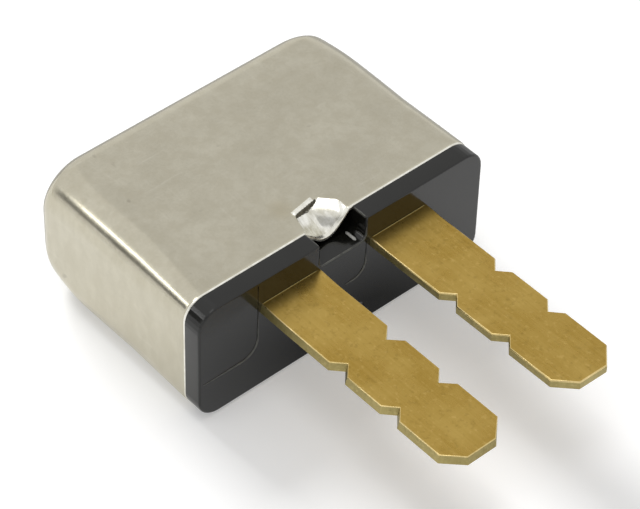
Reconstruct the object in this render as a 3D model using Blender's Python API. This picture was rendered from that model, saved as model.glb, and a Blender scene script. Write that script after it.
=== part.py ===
"""Automotive plug-in circuit breaker with two notched blades.

A drawn metal cover closes over a moulded base. Two brass terminals pass through the base:
outside they are the blades that plug into a fuse block, inside one carries a fixed contact
and the other a bimetal strip, whose moving contact meets the fixed one until it gets hot.

The breaker lies on its broad side: X across the two blades, -Y the way the blades point,
+Z up. The origin is under the middle of the whole breaker, at the lowest point.
"""

import math

import bmesh
import bpy
from mathutils import Vector

MM = 0.001

# Gaps
FIT_GAP = 0.3 * MM            # between any two pieces that seat on each other

# Base
FLANGE_WIDTH = 25.5 * MM
FLANGE_HEIGHT = 10.0 * MM
FLANGE_THICKNESS = 1.45 * MM
FLANGE_CORNER = 1.95 * MM
PLUG_DEPTH = 4.6 * MM         # how far the base reaches into the cover
FACE_EDGE = 0.2 * MM          # rounding of the face's outer edge
PAD_RAISE = 0.1 * MM          # the face's pads over the face around them
SIDE_PAD_INNER = 7.65 * MM    # from the middle of the base to a side pad's inner edge
SIDE_PAD_BOTTOM = 3.4 * MM    # from the flange's underside to a side pad
SIDE_PAD_CORNER = 1.4 * MM
MIDDLE_PAD_WIDTH = 4.0 * MM
MIDDLE_PAD_BOTTOM = 4.75 * MM
MIDDLE_PAD_CORNER = 1.2 * MM

# Cover
WALL = 0.4 * MM
COVER_DEPTH = 15.9 * MM       # from the lip to the closed end
TOP_BELLY = 0.42 * MM         # how much the cover swells on its upper broad side
UNDER_BELLY = 0.18 * MM       # and on its lower one
BELLY_RUN = 12.0 * MM         # from the lip to where it has swollen fully
LIP_EDGE_RADIUS = 1.8 * MM    # the long edges' rounding at the lip
BODY_EDGE_RADIUS = 2.2 * MM   # the same edges further back
EDGE_RUN = 6.0 * MM           # from the lip to where the edges are that round
END_RADIUS = 1.5 * MM         # the closed end's rounding
TOP_END_CORNER = 3.3 * MM     # the upper edges' rounding where they run into the closed end
UNDER_END_CORNER = 4.6 * MM   # and the lower edges'
CORNER_RUN = 5.2 * MM         # over how much of the depth they grow to that
SIDE_FLAT = 0.2 * MM          # the least flat left between a corner and the cover's middle
LIP_ROLL = 0.15 * MM          # how far the lip's outer edge curls inwards

# Stake, pushed into the base on both broad sides
STAKE_WIDTH = 3.8 * MM
STAKE_LENGTH = 2.1 * MM
STAKE_DEPTH = 1.5 * MM
STAKE_ROUND = 0.4 * MM        # rounding of the V's bottom
POCKET_CORNER = 0.4 * MM      # rounding of the corners of the pocket's floor

# Blades
BLADE_WIDTH = 5.2 * MM
BLADE_THICKNESS = 0.65 * MM
BLADE_LENGTH = 18.73 * MM
BLADE_PITCH = 9.8 * MM
BLADE_RISE = 2.4 * MM         # the blades' middle over the base's middle
NOTCH_DEPTH = 0.78 * MM
NOTCH_LENGTH = 1.66 * MM
FIRST_NOTCH = 7.65 * MM       # from the base's face to the middle of the first notch
SECOND_NOTCH = 12.69 * MM
TIP_CHAMFER = 1.36 * MM

# Terminals inside the cover
SHOULDER_OVERHANG = 0.5 * MM  # each shoulder's reach past the blade's edge
SHOULDER_LENGTH = 1.5 * MM
SHOULDER_SLOPE = 0.2 * MM     # the sheared corners' run
TONGUE_LENGTH = 6.2 * MM      # behind the shoulder
RIVET_SETBACK = 2.6 * MM      # from a tongue's end to its rivet

# Contacts, rivets and strip
SHANK_RADIUS = 0.6 * MM
CONTACT_RADIUS = 1.5 * MM
CONTACT_THICKNESS = 0.7 * MM
CONTACT_CROWN = 0.15 * MM     # the dome on a contact's face
UPSET_RADIUS = 1.2 * MM
UPSET_THICKNESS = 0.3 * MM
RIVET_HEAD_RADIUS = 1.4 * MM
RIVET_HEAD_THICKNESS = 0.5 * MM
STRIP_THICKNESS = 0.3 * MM
STRIP_WIDTH = 4.6 * MM
STRIP_BOW = 0.35 * MM         # how far the strip arches between its two ends
STRIP_MARGIN = 0.8 * MM       # strip left around a rivet's head
STRIP_TIP = 0.6 * MM          # width of the flat at the tip of its round end

SMOOTH_ANGLE = 32             # degrees; sharper edges stay crisp
PRESSED_SMOOTH_ANGLE = 50     # the same for the cover, whose folds are all soft
ARC_STEPS = 8                 # facets in each quarter turn
EDGE_STEPS = 4                # facets across a small edge rounding
TURNED_STEPS = 32             # facets around a rivet

# Derived heights, counted from the middle of the base and cover
blade_top = BLADE_RISE + BLADE_THICKNESS / 2
blade_under = BLADE_RISE - BLADE_THICKNESS / 2
contact_face = blade_under - FIT_GAP - CONTACT_THICKNESS
strip_top = contact_face - FIT_GAP - CONTACT_THICKNESS - FIT_GAP
strip_middle = strip_top - STRIP_THICKNESS / 2
tongue_drop = blade_under - (strip_top + FIT_GAP)

# Derived places along Y, counted from the base's face
lip_y = FLANGE_THICKNESS + FIT_GAP
end_y = lip_y + COVER_DEPTH
plug_back = FLANGE_THICKNESS + PLUG_DEPTH
shoulder_y = plug_back + FIT_GAP
tongue_y = shoulder_y + SHOULDER_LENGTH
tongue_end = tongue_y + TONGUE_LENGTH
contact_y = tongue_end - RIVET_SETBACK
blade_x = BLADE_PITCH / 2

# The pocket takes the stake with the gap under it and beyond it. The stake's outer edges
# hardly go down, so the pocket can be a little narrower than the stake.
pocket_depth = STAKE_DEPTH + WALL + FIT_GAP
pocket_width = STAKE_WIDTH - FIT_GAP / 2
pocket_back = lip_y + STAKE_LENGTH + 2 * FIT_GAP

COVER_METAL = ((0.43, 0.40, 0.33, 1.0), 0.38, 1.0)
BLACK_MOULDING = ((0.022, 0.022, 0.021, 1.0), 0.22, 0.0)
BRASS = ((0.50, 0.34, 0.13, 1.0), 0.42, 1.0)
SILVER = ((0.78, 0.77, 0.74, 1.0), 0.30, 1.0)
BIMETAL = ((0.42, 0.40, 0.37, 1.0), 0.40, 1.0)
RIVET_STEEL = ((0.55, 0.54, 0.52, 1.0), 0.35, 1.0)


def clear_scene():
    for old in list(bpy.data.objects):
        bpy.data.objects.remove(old, do_unlink=True)


def make_material(name, look):
    colour, roughness, metallic = look
    material = bpy.data.materials.new(name)
    material.use_nodes = True
    shader = material.node_tree.nodes["Principled BSDF"]
    shader.inputs["Base Color"].default_value = colour
    shader.inputs["Roughness"].default_value = roughness
    shader.inputs["Metallic"].default_value = metallic
    return material


def finish_mesh(name, bm, look=None, smooth_angle=SMOOTH_ANGLE):
    """Turn the mesh into an object, faces outwards, round surfaces shaded smooth."""
    bmesh.ops.recalc_face_normals(bm, faces=bm.faces)
    mesh = bpy.data.meshes.new(name)
    bm.to_mesh(mesh)
    bm.free()
    piece = bpy.data.objects.new(name, mesh)
    bpy.context.collection.objects.link(piece)
    if look:
        mesh.materials.append(make_material(name, look))
    if smooth_angle:
        mesh.shade_smooth()
        mesh.set_sharp_from_angle(angle=math.radians(smooth_angle))
    return piece


def loft(bm, rings, cap_start=True, cap_end=True):
    """Skin a row of rings that have equally many points."""
    rows = [[bm.verts.new(point) for point in ring] for ring in rings]
    count = len(rows[0])
    for near, far in zip(rows, rows[1:]):
        for i in range(count):
            j = (i + 1) % count
            bm.faces.new((near[i], near[j], far[j], far[i]))
    if cap_start:
        bm.faces.new(rows[0][::-1])
    if cap_end:
        bm.faces.new(rows[-1])
    return rows


def arc(centre_x, centre_z, radius, start, stop, steps):
    """Points along an arc in the XZ plane, angles in degrees."""
    points = []
    for i in range(steps + 1):
        angle = math.radians(start + (stop - start) * i / steps)
        points.append((centre_x + radius * math.cos(angle), centre_z + radius * math.sin(angle)))
    return points


def extrude_profile(profile, front, back):
    """The two rings of an XZ profile carried from one Y to another."""
    return [[(x, y, z) for x, z in profile] for y in (front, back)]


def rounded_section(width, low, high, low_radius, high_radius, middle_points=()):
    """An XZ outline with round corners, and extra points across its long sides."""
    high_straight = width / 2 - high_radius
    low_straight = width / 2 - low_radius
    points = arc(high_straight, high - high_radius, high_radius, 0, 90, ARC_STEPS)
    points += [(x, high) for x in sorted(middle_points, reverse=True)]
    points += arc(-high_straight, high - high_radius, high_radius, 90, 180, ARC_STEPS)
    points += arc(-low_straight, low + low_radius, low_radius, 180, 270, ARC_STEPS)
    points += [(x, low) for x in sorted(middle_points)]
    points += arc(low_straight, low + low_radius, low_radius, 270, 360, ARC_STEPS)
    return points


def cut(piece, cutter):
    """Subtract a cutter, which stays in the scene as a hidden wire guide."""
    cutter.hide_render = True
    cutter.display_type = "WIRE"
    modifier = piece.modifiers.new("cut by " + cutter.name, "BOOLEAN")
    modifier.operation = "DIFFERENCE"
    modifier.solver = "EXACT"
    modifier.object = cutter


def block(name, low, high):
    """A plain box between two corners, used as a cutter."""
    bm = bmesh.new()
    x0, y0, z0 = low
    x1, y1, z1 = high
    loft(bm, [[(x0, y, z0), (x1, y, z0), (x1, y, z1), (x0, y, z1)] for y in (y0, y1)])
    return finish_mesh(name, bm, smooth_angle=None)


def dome(radius, height, base_z):
    """Profile points of a shallow dome, from its rim up to just short of its top."""
    ball = (radius * radius + height * height) / (2 * height)
    half_angle = math.asin(min(radius / ball, 1.0))
    points = []
    for k in range(ARC_STEPS, 0, -1):
        angle = half_angle * k / ARC_STEPS
        points.append((ball * math.sin(angle), base_z + height - ball * (1 - math.cos(angle))))
    return points


def turned(name, profile, look=None):
    """A solid of revolution about Z. The profile runs from the bottom axis point to the top one."""
    steps = TURNED_STEPS
    bm = bmesh.new()
    bottom = bm.verts.new((0, 0, profile[0][1]))
    top = bm.verts.new((0, 0, profile[-1][1]))
    rows = []
    for radius, z in profile[1:-1]:
        row = []
        for i in range(steps):
            angle = 2 * math.pi * i / steps
            row.append(bm.verts.new((radius * math.cos(angle), radius * math.sin(angle), z)))
        rows.append(row)
    for i in range(steps):
        j = (i + 1) % steps
        bm.faces.new((bottom, rows[0][j], rows[0][i]))
        bm.faces.new((top, rows[-1][i], rows[-1][j]))
        for lower, upper in zip(rows, rows[1:]):
            bm.faces.new((lower[i], lower[j], upper[j], upper[i]))
    return finish_mesh(name, bm, look)


def stake_fall(x, y):
    """How far the lip is pushed in at a point: a round-bottomed V that ramps down to the lip."""
    along = (lip_y + STAKE_LENGTH - y) / STAKE_LENGTH
    half = STAKE_WIDTH / 2
    if along <= 0 or abs(x) >= half:
        return 0.0
    slant = math.hypot(x, STAKE_ROUND) - STAKE_ROUND
    whole_slant = math.hypot(half, STAKE_ROUND) - STAKE_ROUND
    return STAKE_DEPTH * min(along, 1.0) * (1 - slant / whole_slant)


def edge_radius(y, end_corner):
    """The long edges' rounding at one place along the cover."""
    radius = LIP_EDGE_RADIUS + (BODY_EDGE_RADIUS - LIP_EDGE_RADIUS) * min((y - lip_y) / EDGE_RUN, 1.0)
    into_corner = (y - (end_y - CORNER_RUN)) / CORNER_RUN
    if into_corner > 0:
        radius += (end_corner - BODY_EDGE_RADIUS) * into_corner ** 2
    return radius


def cover_ring(y, inset, points_across):
    """One section of the cover, shrunk by inset for its inner surface."""
    drawn_in = 0.0
    end_radius = END_RADIUS - inset
    past = y - (end_y - END_RADIUS)
    if past > 0:
        drawn_in = end_radius - math.sqrt(max(end_radius ** 2 - past ** 2, 0.0))
    swell = math.sin(math.pi / 2 * min((y - lip_y) / BELLY_RUN, 1.0))
    shrink = inset + drawn_in
    high = FLANGE_HEIGHT / 2 + TOP_BELLY * swell - shrink
    low = shrink - FLANGE_HEIGHT / 2 - UNDER_BELLY * swell
    high_radius = min(edge_radius(y, TOP_END_CORNER) - inset, high - SIDE_FLAT)
    low_radius = min(edge_radius(y, UNDER_END_CORNER) - inset, -low - SIDE_FLAT)
    width = FLANGE_WIDTH - 2 * shrink
    ring = []
    for x, z in rounded_section(width, low, high, low_radius, high_radius, points_across):
        z -= math.copysign(stake_fall(x, y), z)
        ring.append((x, y, z))
    return ring


def spaced(start, stop, count):
    """Evenly spaced values after start, up to stop."""
    return [start + (stop - start) * k / count for k in range(1, count + 1)]


def around_the_end(radius):
    """Places along Y that divide the closed end's rounding evenly."""
    start = end_y - END_RADIUS
    return [start + radius * math.sin(math.pi / 2 * k / ARC_STEPS) for k in range(1, ARC_STEPS + 1)]


def build_cover():
    """A drawn can: outer skin from the closed end to the lip, round the lip and back inside."""
    half = STAKE_WIDTH / 2
    across = [-STAKE_WIDTH, -half] + spaced(-half, half, 16) + [STAKE_WIDTH]
    stake_end = lip_y + STAKE_LENGTH
    swelling = spaced(lip_y, stake_end, 6) + spaced(stake_end, end_y - CORNER_RUN, 5)
    swelling += spaced(end_y - CORNER_RUN, end_y - END_RADIUS, 4)
    rings = []
    for y in reversed([lip_y + LIP_ROLL] + swelling + around_the_end(END_RADIUS)):
        rings.append(cover_ring(y, 0.0, across))
    rings.append(cover_ring(lip_y, LIP_ROLL, across))
    rings.append(cover_ring(lip_y, WALL, across))
    for y in swelling + around_the_end(END_RADIUS - WALL):
        rings.append(cover_ring(y, WALL, across))
    bm = bmesh.new()
    loft(bm, rings)
    return finish_mesh("cover", bm, COVER_METAL, PRESSED_SMOOTH_ANGLE)


def face_recess_profile():
    """The outline of the face around its raised pads, drawn past the flange's edges."""
    out = FLANGE_WIDTH
    low = -FLANGE_HEIGHT
    high = FLANGE_HEIGHT
    side_floor = SIDE_PAD_BOTTOM - FLANGE_HEIGHT / 2
    middle_floor = MIDDLE_PAD_BOTTOM - FLANGE_HEIGHT / 2
    middle = MIDDLE_PAD_WIDTH / 2
    side_corner_x = SIDE_PAD_INNER + SIDE_PAD_CORNER
    middle_corner_x = middle - MIDDLE_PAD_CORNER
    points = [(-out, low), (-out, side_floor)]
    points += arc(-side_corner_x, side_floor + SIDE_PAD_CORNER, SIDE_PAD_CORNER, 270, 360, ARC_STEPS)
    points += [(-SIDE_PAD_INNER, high), (-middle, high)]
    middle_corner_z = middle_floor + MIDDLE_PAD_CORNER
    points += arc(-middle_corner_x, middle_corner_z, MIDDLE_PAD_CORNER, 180, 270, ARC_STEPS)
    points += arc(middle_corner_x, middle_corner_z, MIDDLE_PAD_CORNER, 270, 360, ARC_STEPS)
    points += [(middle, high), (SIDE_PAD_INNER, high)]
    points += arc(side_corner_x, side_floor + SIDE_PAD_CORNER, SIDE_PAD_CORNER, 180, 270, ARC_STEPS)
    points += [(out, side_floor), (out, low)]
    return points


def base_section(inset):
    """The flange's outline, drawn in evenly all round."""
    half_height = FLANGE_HEIGHT / 2 - inset
    corner = FLANGE_CORNER - inset
    return rounded_section(FLANGE_WIDTH - 2 * inset, -half_height, half_height, corner, corner)


def pocket_profile(side):
    """A stake's pocket, open past the flange's top (side 1) or underside (side -1)."""
    half = pocket_width / 2
    floor = FLANGE_HEIGHT / 2 - pocket_depth + POCKET_CORNER
    inner = half - POCKET_CORNER
    points = arc(-inner, floor, POCKET_CORNER, 180, 270, ARC_STEPS)
    points += arc(inner, floor, POCKET_CORNER, 270, 360, ARC_STEPS)
    points += [(half, FLANGE_HEIGHT), (-half, FLANGE_HEIGHT)]
    return [(x, side * z) for x, z in points]


def build_base():
    """Flange and plug in one skin, then the pads, pockets and blade slots cut into it."""
    stations = []
    for k in range(EDGE_STEPS + 1):
        turn = math.pi / 2 * k / EDGE_STEPS
        stations.append((FACE_EDGE * (1 - math.cos(turn)) - PAD_RAISE, FACE_EDGE * (1 - math.sin(turn))))
    stations.append((FLANGE_THICKNESS, 0.0))
    stations += [(FLANGE_THICKNESS, WALL + FIT_GAP), (plug_back, WALL + FIT_GAP)]
    rings = [[(x, y, z) for x, z in base_section(inset)] for y, inset in stations]
    bm = bmesh.new()
    loft(bm, rings)
    base = finish_mesh("base", bm, BLACK_MOULDING)

    bm = bmesh.new()
    loft(bm, extrude_profile(face_recess_profile(), -FLANGE_THICKNESS, 0.0))
    cut(base, finish_mesh("face_recess_cutter", bm, smooth_angle=None))

    for name, side in (("top", 1), ("underside", -1)):
        bm = bmesh.new()
        loft(bm, extrude_profile(pocket_profile(side), -FLANGE_THICKNESS, pocket_back))
        cut(base, finish_mesh(name + "_stake_pocket_cutter", bm, smooth_angle=None))

    for name, x in (("left", -blade_x), ("right", blade_x)):
        half = BLADE_WIDTH / 2 + FIT_GAP
        cutter = block(name + "_slot_cutter",
                       (x - half, -FLANGE_THICKNESS, blade_under - FIT_GAP),
                       (x + half, plug_back + FLANGE_THICKNESS, blade_top + FIT_GAP))
        cut(base, cutter)
    return base


def blade_stations(drop):
    """Half width and height of a terminal along Y, from its tip to its tongue's end."""
    half = BLADE_WIDTH / 2
    stations = [(-BLADE_LENGTH, half - TIP_CHAMFER, 0.0), (-BLADE_LENGTH + TIP_CHAMFER, half, 0.0)]
    for middle in (SECOND_NOTCH, FIRST_NOTCH):
        stations.append((-middle - NOTCH_LENGTH / 2, half, 0.0))
        stations.append((-middle, half - NOTCH_DEPTH, 0.0))
        stations.append((-middle + NOTCH_LENGTH / 2, half, 0.0))
    wide = half + SHOULDER_OVERHANG
    stations += [(shoulder_y, half, 0.0), (shoulder_y + SHOULDER_SLOPE, wide, 0.0)]
    stations += [(tongue_y - SHOULDER_SLOPE, wide, 0.0), (tongue_y, half, 0.0)]
    if drop > 0:
        stations.append((tongue_y + drop, half, -drop))
    stations.append((tongue_end, half, -drop))
    return stations


def build_terminal(name, x, drop):
    """One strip of brass: the notched blade, the shoulder behind the base and the tongue."""
    stations = blade_stations(drop)
    rings = []
    for i, (y, half, rise) in enumerate(stations):
        before = stations[max(i - 1, 0)]
        after = stations[min(i + 1, len(stations) - 1)]
        slope_in = math.atan2(rise - before[2], y - before[0]) if i else 0.0
        slope_out = math.atan2(after[2] - rise, after[0] - y) if i < len(stations) - 1 else slope_in
        turn = (slope_in + slope_out) / 2
        reach = BLADE_THICKNESS / 2 / math.cos((slope_out - slope_in) / 2)
        dy = -reach * math.sin(turn)
        dz = reach * math.cos(turn)
        rings.append([(-half, y - dy, rise - dz), (half, y - dy, rise - dz),
                      (half, y + dy, rise + dz), (-half, y + dy, rise + dz)])
    bm = bmesh.new()
    loft(bm, rings)
    terminal = finish_mesh(name, bm, BRASS)
    terminal.location = (x, 0, BLADE_RISE)
    return terminal


def rivet_hole(piece, name, x, y, z, reach):
    """A clearance hole for a rivet's shank."""
    radius = SHANK_RADIUS + FIT_GAP
    cutter = turned(name, [(0, -reach), (radius, -reach), (radius, reach), (0, reach)])
    cutter.location = (x, y, z)
    cut(piece, cutter)


def contact_profile(grip):
    """A contact rivet with its crowned face up at Z 0, then the shank down through grip."""
    head = -CONTACT_THICKNESS
    upset_top = head - grip
    upset_low = upset_top - UPSET_THICKNESS
    profile = [(0, upset_low), (UPSET_RADIUS, upset_low), (UPSET_RADIUS, upset_top)]
    profile += [(SHANK_RADIUS, upset_top), (SHANK_RADIUS, head), (CONTACT_RADIUS, head)]
    return profile + dome(CONTACT_RADIUS, CONTACT_CROWN, -CONTACT_CROWN) + [(0, 0)]


def build_fixed_contact():
    """On the left terminal's underside, its face looking down."""
    contact = turned("fixed_contact", contact_profile(BLADE_THICKNESS + 2 * FIT_GAP), SILVER)
    contact.rotation_euler = (math.pi, 0, 0)
    contact.location = (-blade_x, contact_y, contact_face)
    return contact


def build_moving_contact():
    """On the strip's free end, its face looking up at the fixed contact."""
    contact = turned("moving_contact", contact_profile(STRIP_THICKNESS + 2 * FIT_GAP), SILVER)
    contact.location = (-blade_x, contact_y, contact_face - FIT_GAP)
    return contact


def build_strip_rivet():
    """Through the right terminal's tongue and the strip under it."""
    low = strip_top - STRIP_THICKNESS - FIT_GAP
    high = strip_top + FIT_GAP + BLADE_THICKNESS + FIT_GAP
    upper_head = dome(RIVET_HEAD_RADIUS, RIVET_HEAD_THICKNESS, high)
    lower_head = [(radius, low + high - z) for radius, z in reversed(upper_head)]
    profile = [(0, low - RIVET_HEAD_THICKNESS)] + lower_head
    profile += [(SHANK_RADIUS, low), (SHANK_RADIUS, high)]
    profile += upper_head + [(0, high + RIVET_HEAD_THICKNESS)]
    rivet = turned("strip_rivet", profile, RIVET_STEEL)
    rivet.location = (blade_x, contact_y, 0)
    return rivet


def build_bimetal_strip():
    """A thin strip from the right tongue to the contacts, arched between its flat ends."""
    half = STRIP_WIDTH / 2
    tip = math.asin(STRIP_TIP / STRIP_WIDTH)
    free_end = -blade_x - CONTACT_RADIUS - STRIP_MARGIN
    fixed_end = blade_x + RIVET_HEAD_RADIUS + STRIP_MARGIN
    arch_start = max(free_end + half, UPSET_RADIUS + STRIP_MARGIN - blade_x)
    arch_end = blade_x - RIVET_HEAD_RADIUS - STRIP_MARGIN
    stations = []
    for k in range(ARC_STEPS + 1):
        angle = tip + (math.pi / 2 - tip) * k / ARC_STEPS
        stations.append((free_end + half * (1 - math.cos(angle)), half * math.sin(angle)))
    if arch_start > free_end + half:
        stations.append((arch_start, half))
    stations += [(x, half) for x in spaced(arch_start, arch_end, 12)] + [(fixed_end, half)]
    rings = []
    for x, width in stations:
        arch = 0.0
        if arch_start < x < arch_end:
            turn = 2 * math.pi * (x - arch_start) / (arch_end - arch_start)
            arch = STRIP_BOW * (1 - math.cos(turn)) / 2
        low = -STRIP_THICKNESS / 2 - arch
        high = STRIP_THICKNESS / 2 - arch
        rings.append([(x, -width, low), (x, width, low), (x, width, high), (x, -width, high)])
    bm = bmesh.new()
    loft(bm, rings)
    strip = finish_mesh("bimetal_strip", bm, BIMETAL)
    strip.location = (0, contact_y, strip_middle)
    return strip


def main():
    clear_scene()
    build_cover()
    build_base()
    left = build_terminal("left_terminal", -blade_x, 0.0)
    right = build_terminal("right_terminal", blade_x, tongue_drop)
    strip = build_bimetal_strip()
    build_fixed_contact()
    build_moving_contact()
    build_strip_rivet()
    reach = BLADE_THICKNESS
    rivet_hole(left, "fixed_contact_hole_cutter", -blade_x, contact_y, BLADE_RISE, reach)
    rivet_hole(right, "tongue_hole_cutter", blade_x, contact_y, BLADE_RISE - tongue_drop, reach)
    rivet_hole(strip, "moving_contact_hole_cutter", -blade_x, contact_y, strip_middle, reach)
    rivet_hole(strip, "strip_hole_cutter", blade_x, contact_y, strip_middle, reach)

    # The whole breaker stands on its cover's swollen underside, its length centred on Y 0
    breaker = bpy.data.objects.new("breaker", None)
    bpy.context.collection.objects.link(breaker)
    for piece in list(bpy.data.objects):
        if piece is not breaker:
            piece.parent = breaker
    breaker.location = Vector((0, (BLADE_LENGTH - end_y) / 2, FLANGE_HEIGHT / 2 + UNDER_BELLY))


main()
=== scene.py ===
# %% [markdown]
# # A plug-in circuit breaker
#
# Some cars guard their circuits with a small breaker instead of a fuse. It is a drawn metal
# can closed by a glossy black moulding, and two brass blades stand out of the moulding and
# plug into the fuse block. A strip inside bends when it gets hot and opens the circuit.
#
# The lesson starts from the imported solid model, which fixes every size and place, and makes
# the surface that you see: the soft edges of pressed metal, the staked lip, the moulded
# face and the sheared brass.

# %% Load the solid model
import math

import bmesh
import bpy
import numpy as np
from mathutils import Matrix, Vector


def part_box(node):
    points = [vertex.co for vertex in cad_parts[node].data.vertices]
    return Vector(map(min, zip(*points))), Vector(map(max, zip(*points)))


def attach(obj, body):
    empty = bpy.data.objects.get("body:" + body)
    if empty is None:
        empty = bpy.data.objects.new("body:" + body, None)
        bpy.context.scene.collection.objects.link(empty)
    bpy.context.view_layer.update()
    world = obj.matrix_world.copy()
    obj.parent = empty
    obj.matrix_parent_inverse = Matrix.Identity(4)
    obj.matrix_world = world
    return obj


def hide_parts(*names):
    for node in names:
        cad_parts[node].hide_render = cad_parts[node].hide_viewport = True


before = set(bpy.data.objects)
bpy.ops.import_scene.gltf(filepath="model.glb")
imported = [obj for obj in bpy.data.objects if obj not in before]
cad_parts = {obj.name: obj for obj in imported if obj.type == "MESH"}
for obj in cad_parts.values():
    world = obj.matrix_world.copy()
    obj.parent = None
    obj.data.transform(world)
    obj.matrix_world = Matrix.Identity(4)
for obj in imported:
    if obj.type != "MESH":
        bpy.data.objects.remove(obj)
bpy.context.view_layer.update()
MM = 0.001


def in_mm(box):
    return [[round(v / MM, 2) for v in corner] for corner in box]


# %% [markdown]
# ## Where everything is counted from
#
# The solids already stand in their places. All the outlines below are drawn from one point:
# the middle of the base's face, where the blades come out. X runs across the blades, Y runs
# back into the can and Z is up. Reading that point from the solids keeps the drawing and
# the solid model together.

# %% The drawing's origin
PAD_RAISE = 0.1 * MM             # the solid base's pads stand this far in front of its face
base_low, base_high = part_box("base")
_, cover_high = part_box("cover")
blade_low, blade_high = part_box("left_terminal")
face_point = Vector((0, base_low.y + PAD_RAISE, (base_low.z + base_high.z) / 2))
width = base_high.x - base_low.x
height = base_high.z - base_low.z
end_y = cover_high.y - face_point.y
print("base", round(width / MM, 2), "by", round(height / MM, 2), "mm,",
      "can ends", round(end_y / MM, 2), "mm back")

# %% [markdown]
# ## Helpers for every lofted piece
#
# Pressed and moulded pieces change their outline slowly from one end to the other. They
# could be boxes with bevels, but a bevel has one radius all along. A loft suits them better:
# a row of closed outlines with the same number of points, joined by quads. The first helper
# makes one, and the second turns its faces outwards, shades it smooth except at real edges,
# and puts it in its place.

# %% Loft helpers
def add_loft(bm, outlines, mirrored=False):
    """Add one closed shell: outlines joined by quads, and closed at both ends.

    An outline whose second half mirrors its first is closed with a row of quads."""
    rows = [[bm.verts.new(point) for point in outline] for outline in outlines]
    count = len(rows[0])
    for near, far in zip(rows, rows[1:]):
        for i in range(count):
            j = (i + 1) % count
            bm.faces.new((near[i], near[j], far[j], far[i]))
    for end in (rows[0][::-1], rows[-1]):
        if mirrored:
            for i in range(count // 2 - 1):
                bm.faces.new((end[i], end[i + 1], end[count - 2 - i], end[count - 1 - i]))
        else:
            bm.faces.new(end)


def place(name, bm, sharp_degrees=40):
    """Make an object at the drawing's origin from a mesh, with its faces turned outwards."""
    bmesh.ops.recalc_face_normals(bm, faces=bm.faces)
    bmesh.ops.translate(bm, verts=bm.verts, vec=face_point)
    mesh = bpy.data.meshes.new(name)
    bm.to_mesh(mesh)
    bm.free()
    mesh.shade_smooth()
    mesh.set_sharp_from_angle(angle=math.radians(sharp_degrees))
    piece = bpy.data.objects.new(name, mesh)
    bpy.context.scene.collection.objects.link(piece)
    return piece


print("lofts are placed round this point, mm:", in_mm([face_point])[0])

# %% [markdown]
# ## The stake
#
# After the can is pushed over the base, a blunt chisel knocks its lip down into a pocket in
# the base, and the two can't come apart. The dent has a plain slope on its left. On its
# right a flat facet ends in a steeper fold. At the back is a short sharp crease, with a
# ridge of metal pushed up behind it and a small step where the chisel's corner bit in.
#
# It could be sculpted by hand, but a height function is easier to adjust. It says for each
# point of the can how far the chisel pushed it, and the loft's points are moved by that much.

# %% How far the lip is pushed in
LIP_Y = 1.47 * MM                                # the can's lip, behind the moulding's face
STAKE_DEPTH = 1.44 * MM
STAKE_LEFT = (-1.7 * MM, -2.3 * MM)              # its left edge, at the crease and at the lip
STAKE_RIGHT = 1.64 * MM
LEFT_SLOPE, RIGHT_SLOPE = 0.93, 1.16             # of its sides at the lip
SLOPE_AT_CREASE = 0.15                           # share of the left slope that is there already
FACET_FOLD = (1.75 * MM, 2.45 * MM)              # a point of the right facet's outer edge
FACET_DOWNHILL = (0.704, 0.71)                   # to the left, and to the front
FACET_SLOPE, FOLD_SLOPE = 0.48, 0.75             # flat at first, and what the fold adds
FOLD_START, FOLD_ROUND = 1.0 * MM, 0.14 * MM
VALLEY_ROUND, RIGHT_ROUND = 0.22 * MM, 0.25 * MM
FLOOR_ROUND, CREASE_ROUND = 0.45 * MM, 0.06 * MM
CREASE_START = (-1.6 * MM, 3.2 * MM)             # the crease's left end, x and y
CREASE_SLANT, CREASE_WALL = 0.16, 2.6
BITE_DEPTH, BITE_RUN = 0.22 * MM, 0.12 * MM      # the step where the chisel's corner bit in
RIDGE_HEIGHT = 0.10 * MM
RIDGE_BEHIND, RIDGE_WIDTH = 0.19 * MM, 0.14 * MM
RIDGE_LEFT, RIDGE_LEFT_RUN = -1.85 * MM, 0.3 * MM
RIDGE_RIGHT, RIDGE_RIGHT_RUN = 0.4 * MM, 0.5 * MM


def smooth_step(value):
    value = np.clip(value, 0, 1)
    return value * value * (3 - 2 * value)


def soft_min(first, second, over):
    """The smaller of two heights, with a rounded fold where they meet."""
    share = np.clip(0.5 + 0.5 * (second - first) / over, 0, 1)
    return second + (first - second) * share - over * share * (1 - share)


def stake_back(x):
    """The crease isn't square to the lip: it runs further back on the right."""
    return CREASE_START[1] + CREASE_SLANT * (x - CREASE_START[0])


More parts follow.
